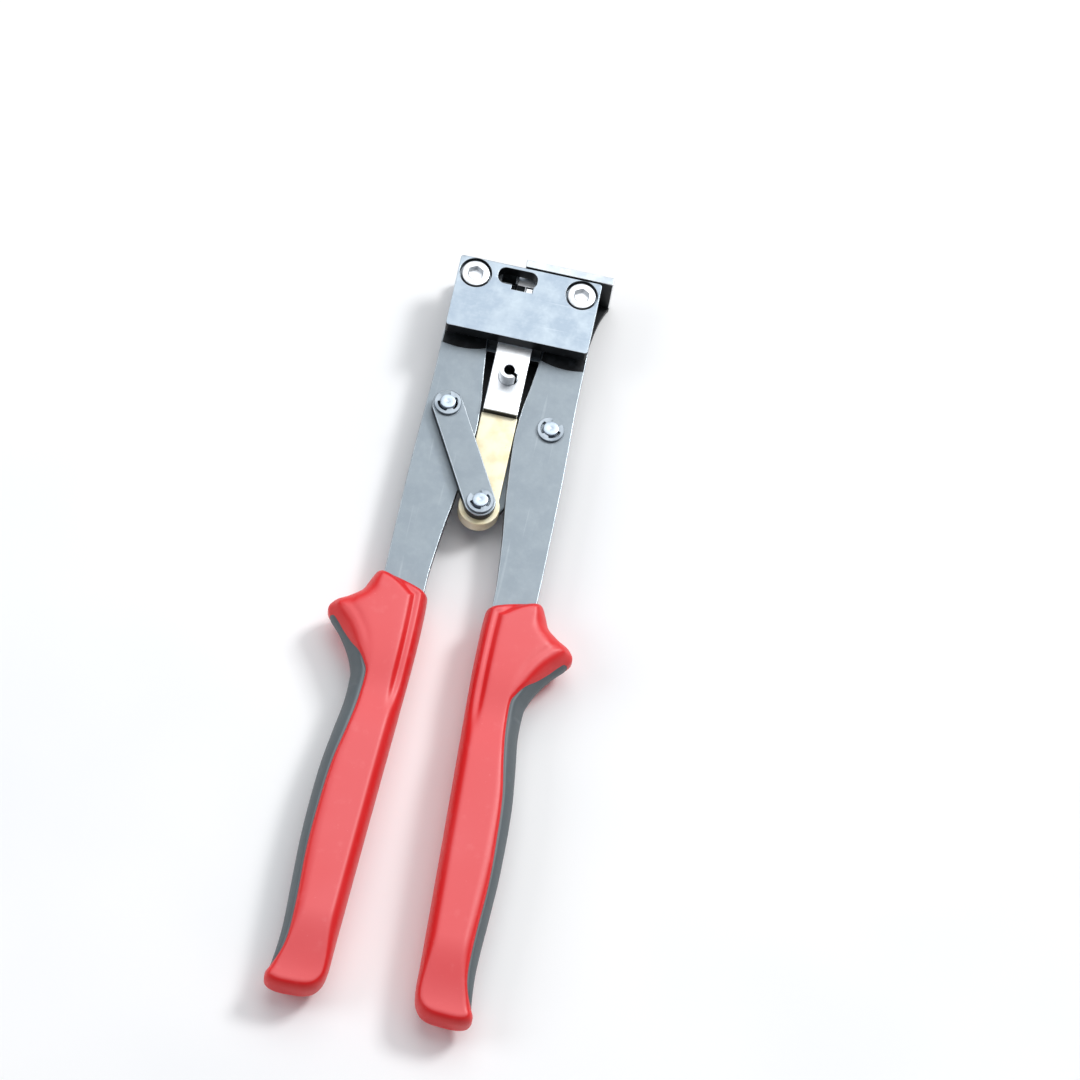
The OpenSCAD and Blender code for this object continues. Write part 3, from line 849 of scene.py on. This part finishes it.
def clip_section(s, angle):
    """A thin ring that reaches in at the lugs and is slimmer towards its two ends."""
    far = angle.maths("ABSOLUTE")
    bump = 0.0
    for at in LUG_ANGLES:
        away = (far - at).maths("ABSOLUTE")
        bump = (1 - away.between(LUG_FULL, LUG_GONE)) + bump
    r_in = s["inner"] - (s["inner"] - s["lug"]) * bump
    r_out = s["outer"] * (1 - far.between(SLIM_FROM, SLIM_TO) * SLIMMER)
    low, high, edge = s["low"], s["low"] + s["thick"], s["edge"]
    return [
        (r_in + edge, low),
        (r_out - edge, low),
        (r_out, low + edge),
        (r_out, high - edge),
        (r_out - edge, high),
        (r_in + edge, high),
        (r_in, high - edge),
        (r_in, low + edge),
    ]


for node, (clip, turned) in PINS.items():
    sizes = dict(clip_sizes, low=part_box(clip)[0].z / MM)
    tree, shape = rolled("spring clip " + clip, sizes, clip_section, 122, CLIP_SWEEP)
    spot = middle_of(node)
    made = grown(
        clip + "_swept", tree, shape, steel["spring"], sizes, (spot.x, spot.y, 0), turned
    )
    stand_in(made, clip)

# %% [markdown]
# ## Slotted spring pin
# The pin through the ram block is a plain tube with a slot along its side, so the CAD
# shape is right already. Its bore never sees the light, and it is painted black as shade:
# the bore's faces are those that look towards the axis.

# %% Slotted pin


def in_bore(f):
    """Whether a face is upright and looks towards the pin's axis."""
    outward = f.calc_center_median() - middle_of("slotted_pin")
    return abs(f.normal.z) < 0.5 and f.normal.xy.dot(outward.xy) < 0


# the bore gets the black finish as painted shade
finished("slotted_pin", 0.25, "bright", "black", "bright", in_bore)

# %% [markdown]
# ## Moulded grips
# A grip is a hard red shell with a grey rubber inlay along its outer side. Both share one
# body: broad flat faces that round off towards the outline, a hand guard with a sloped
# rim, a groove beside the inner edge, a slight waist under the guard and a thinner foot. A
# box model with subdivisions would wander off the outline, so the outline comes from the
# CAD faces, the inside is filled with points, and each point gets its height from a rule in
# plain maths.

# %% Outlines from the CAD faces


def front_loop(node):
    """The outline of a CAD node's front face, in order, in millimetres."""
    shape = merged_copy(node)
    top = max(v.co.z for v in shape.verts)
    flat = [f for f in shape.faces if f.normal.z > 0.99 and f.verts[0].co.z > top - 1e-5]
    steps = {(c.vert, c.link_loop_next.vert) for f in flat for c in f.loops}
    after = {a: b for a, b in steps if (b, a) not in steps}
    first = at = max(after, key=lambda v: v.co.y)
    loop = []
    while True:
        loop.append(list(at.co.xy / MM))
        at = after[at]
        if at == first:
            break
    shape.free()
    return np.array(loop)


def refined(line, spacing):
    """A smooth line through the same points, with new points at about this spacing."""
    at = np.r_[0, np.cumsum(np.linalg.norm(np.diff(line, axis=0), axis=1))]
    slope = np.gradient(line, at, axis=0)
    new = [line[:1]]
    for i in range(len(line) - 1):
        length = at[i + 1] - at[i]
        count = max(1, round(length / spacing))
        t = (np.arange(1, count + 1) / count)[:, None]
        new.append(
            (2 * t**3 - 3 * t**2 + 1) * line[i]
            + (t**3 - 2 * t**2 + t) * length * slope[i]
            + (3 * t**2 - 2 * t**3) * line[i + 1]
            + (t**3 - t**2) * length * slope[i + 1]
        )
    return np.concatenate(new)


def split_at(loop, shared):
    """Cuts a loop in two: the run that it shares with another loop, and the rest."""
    start = next(i for i in range(len(loop)) if shared[i] and not shared[i - 1])
    loop, shared = np.roll(loop, -start, axis=0), np.roll(shared, -start)
    count = int(np.argmin(shared))
    return loop[:count], np.concatenate([loop[count - 1 :], loop[:1]])


def distance(points, line):
    """The distance of every point from a line of points."""
    a, step = line[:-1], np.diff(line, axis=0)
    away = points[:, None] - a
    t = np.clip((away * step).sum(2) / np.maximum((step**2).sum(1), 1e-12), 0, 1)
    return np.linalg.norm(away - t[..., None] * step, axis=2).min(1)


def inside(points, loop):
    """Whether each point is inside a closed loop."""
    a, b = loop, np.roll(loop, -1, axis=0)
    x, y = points[:, None, 0], points[:, None, 1]
    spans = (a[:, 1] > y) != (b[:, 1] > y)
    rise = np.where(b[:, 1] == a[:, 1], 1, b[:, 1] - a[:, 1])
    crossing = a[:, 0] + (y - a[:, 1]) * (b[:, 0] - a[:, 0]) / rise
    return (spans & (x < crossing)).sum(1) % 2 == 1


# %% [markdown]
# The height rule, in millimetres from the middle layer. `rise` is the round shoulder
# along the outline. The other lines take away the waist below the guard, the thin foot, the
# sloped rim and the crease of the guard, the groove and the step beside the inner edge, and
# the parting groove between the shell and the inlay. Distances down a grip start at its top.

# %% The height of a grip's faces
WALL = 1.4
SHOULDER = 5.0
FULL = 11.0
WAIST, WAIST_DOWN, WAIST_LONG = 1.7, 51, 12
FOOT, FOOT_FROM, FOOT_TO = 4.6, 144, 172
GUARD_END = 45  # how far down the guard's own shapes reach
TIP, TIP_FROM, TIP_TO = 1.3, 32, 47
RIM, RIM_FROM, RIM_TO = 2.6, 0.5, 3.8
CREASE, CREASE_IN, CREASE_WIDE = 0.45, 7.5, 1.6
GROOVE, GROOVE_IN, GROOVE_DRIFT, GROOVE_WIDE = 1.4, 5.4, 0.02, 1.5
STEP, STEP_FROM, STEP_TO = 0.8, 4.0, 6.4
PARTING, PARTING_WIDE = 0.45, 0.9


def ease(value, low, high):
    """0 up to low, 1 from high on, and a smooth rise from one to the other."""
    t = np.clip((value - low) / (high - low), 0, 1)
    return t * t * (3 - 2 * t)


def hill(value, middle, width):
    """1 at the middle, falling off smoothly on both sides."""
    return np.exp(-(((value - middle) / width) ** 2))


def grip_height(points, outline, seam, top, sunk):
    """The height of each point of a grip that hangs down from a top."""
    out, down = np.abs(points[:, 0]), top - points[:, 1]
    around = np.c_[np.abs(outline[:, 0]), top - outline[:, 1]]
    inner = outline[(around[:, 0] < 18) & (around[:, 1] > 4) & (around[:, 1] < 160)]
    rim = outline[(around[:, 0] > 29) & (around[:, 1] > 17) & (around[:, 1] < 50)]
    from_edge = distance(points, outline)
    inner = inner[np.argsort(inner[:, 1])]
    beyond = inner[-1] + (inner[-1] - inner[-8]) * 3
    from_inner = distance(points, np.concatenate([inner, [beyond]]))
    from_rim = distance(points, rim[np.argsort(np.abs(rim[:, 0]))])
    from_seam = distance(points, seam)
    guard = 1 - ease(down, 40, 62)
    foot = ease(down, FOOT_FROM, FOOT_TO)
    full = FULL - WAIST * hill(down, WAIST_DOWN, WAIST_LONG) - FOOT * foot
    full -= TIP * ease(out, TIP_FROM, TIP_TO) * (down < GUARD_END)
    full -= RIM * (1 - ease(from_rim, RIM_FROM, RIM_TO)) * (down < GUARD_END + 5)
    crease = CREASE * hill(from_rim, CREASE_IN, CREASE_WIDE)
    full -= crease * ease(out, 26, 32) * (down < GUARD_END)
    full -= GROOVE * hill(from_inner, GROOVE_IN - GROOVE_DRIFT * down, GROOVE_WIDE) * guard
    full -= STEP * (1 - ease(from_inner, STEP_FROM, STEP_TO)) * guard
    shoulder = SHOULDER * (1 + 0.6 * ease(from_inner, 9, 17)) * (1 - 0.6 * foot)
    near = np.clip(from_edge / shoulder, 0, 1)
    rise = np.sqrt(1 - (1 - near) ** 2)
    height = WALL + (full - WALL) * rise
    return height - sunk - PARTING * (1 - ease(from_seam, 0.0, PARTING_WIDE))


# %% Fill an outline and raise it on both sides
ROUNDED_RINGS = (0.04, 0.15, 0.35, 0.7, 1.2, 1.8, 2.5, 3.2)
GROOVE_RINGS = (3.9, 4.5, 5.1, 5.7, 6.3, 6.9, 7.6, 8.4)
RINGS = ROUNDED_RINGS + GROOVE_RINGS
GRID = 1.15
WALL_STEPS = 2


def cushion(name, loop, outline, seam, top, sunk, material):
    """A closed body over a loop: front, back and the wall between them."""
    ahead = np.roll(loop, -1, axis=0) - np.roll(loop, 1, axis=0)
    inward = np.c_[-ahead[:, 1], ahead[:, 0]]
    inward /= np.linalg.norm(inward, axis=1)[:, None]
    closed = np.concatenate([loop, loop[:1]])
    points = [loop]
    for depth in RINGS:
        ring = loop + inward * depth
        good = inside(ring, loop) & (distance(ring, closed) > 0.93 * depth)
        points.append(ring[good])
    lo, hi = loop.min(0), loop.max(0)
    x, y = np.meshgrid(np.arange(lo[0], hi[0], GRID), np.arange(lo[1], hi[1], GRID))
    x = x + (np.arange(len(x)) % 2)[:, None] * GRID / 2
    grid = np.c_[x.ravel(), y.ravel()]
    grid = grid[inside(grid, loop)]
    points.append(grid[distance(grid, closed) > RINGS[-1] + GRID * 0.6])
    points = np.concatenate(points)
    flat, _, faces, _, _, _ = delaunay_2d_cdt(
        [Vector(p) for p in points], [], [list(range(len(loop)))], 1, 1e-5
    )
    flat = np.array([list(p) for p in flat])
    height = grip_height(flat, outline, seam, top, sunk)
    count, rim = len(flat), len(loop)
    front = np.c_[flat, FULL + height]
    back = np.c_[flat, FULL - height]
    walls = [
        np.c_[flat[:rim], FULL + height[:rim] * (1 - 2 * k / WALL_STEPS)]
        for k in range(1, WALL_STEPS)
    ]
    rows = [np.arange(rim)]
    rows += [2 * count + k * rim + np.arange(rim) for k in range(len(walls))]
    rows.append(count + np.arange(rim))
    solid = [tuple(f) for f in faces]
    solid += [tuple(count + i for i in reversed(f)) for f in faces]
    for upper, lower in zip(rows, rows[1:]):
        for i in range(rim):
            j = (i + 1) % rim
            solid.append((upper[i], lower[i], lower[j], upper[j]))
    mesh = bpy.data.meshes.new(name)
    mesh.from_pydata(np.concatenate([front, back, *walls]) * MM, [], solid)
    shape = bmesh.new()
    shape.from_mesh(mesh)
    bmesh.ops.recalc_face_normals(shape, faces=shape.faces)
    for f in shape.faces:
        f.smooth = True
    shape.to_mesh(mesh)
    shape.free()
    mesh.set_sharp_from_angle(angle=math.radians(55))
    mesh.materials.append(material)
    print(f"{name}: {len(mesh.polygons)} faces")
    return into_scene(mesh, name)


# %% Both grips with their inlays
LINE_STEP = 0.8
INLAY_SUNK = 0.5
SAME_PLACE = 0.02
for side in ("left", "right"):
    shell, inlay = front_loop(side + "_grip"), front_loop(side + "_grip_insert")
    apart = np.linalg.norm(shell[:, None] - inlay, axis=2)
    seam, shell_rest = split_at(shell, apart.min(1) < SAME_PLACE)
    _, inlay_rest = split_at(inlay, apart.min(0) < SAME_PLACE)
    seam = refined(seam, LINE_STEP)
    shell_rest = refined(shell_rest, LINE_STEP)
    inlay_rest = refined(inlay_rest, LINE_STEP)
    outline = np.concatenate([shell_rest[:-1], inlay_rest])
    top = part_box(side + "_grip")[1].y / MM
    shell_loop = np.concatenate([seam[:-1], shell_rest[:-1]])
    inlay_loop = np.concatenate([seam[::-1][:-1], inlay_rest[:-1]])
    for node, loop, sunk, material in (
        (side + "_grip", shell_loop, 0.0, red_plastic),
        (side + "_grip_insert", inlay_loop, INLAY_SUNK, grey_rubber),
    ):
        body = cushion(node + "_moulded", loop, outline, seam, top, sunk, material)
        stand_in(body, node)

# %% [markdown]
# ## The table
# A plain pale floor under the tool, wide enough that no edge comes into view.

# %% Lay the floor
FLOOR_HALF = 4.0
FLOOR_Z = -0.0002


def paper(mm):
    """A white that drifts slightly over a few centimetres."""
    tone = mm.noise(120.0, 2.0, 5.0).between(0.3, 0.7)
    return {
        "Base Color": tone.mix(screen("FBFBFB"), screen("F6F7F8")),
        "Roughness": tone * 0.05 + 0.7,
    }


corners = [
    (x * FLOOR_HALF, y * FLOOR_HALF, FLOOR_Z)
    for x, y in ((-1, -1), (1, -1), (1, 1), (-1, 1))
]
floor_mesh = bpy.data.meshes.new("floor")
floor_mesh.from_pydata(corners, [], [(0, 1, 2, 3)])
floor_mesh.materials.append(finish_of("pale floor", paper))
floor = into_scene(floor_mesh, "floor")
print("floor", 2 * FLOOR_HALF, "m wide")
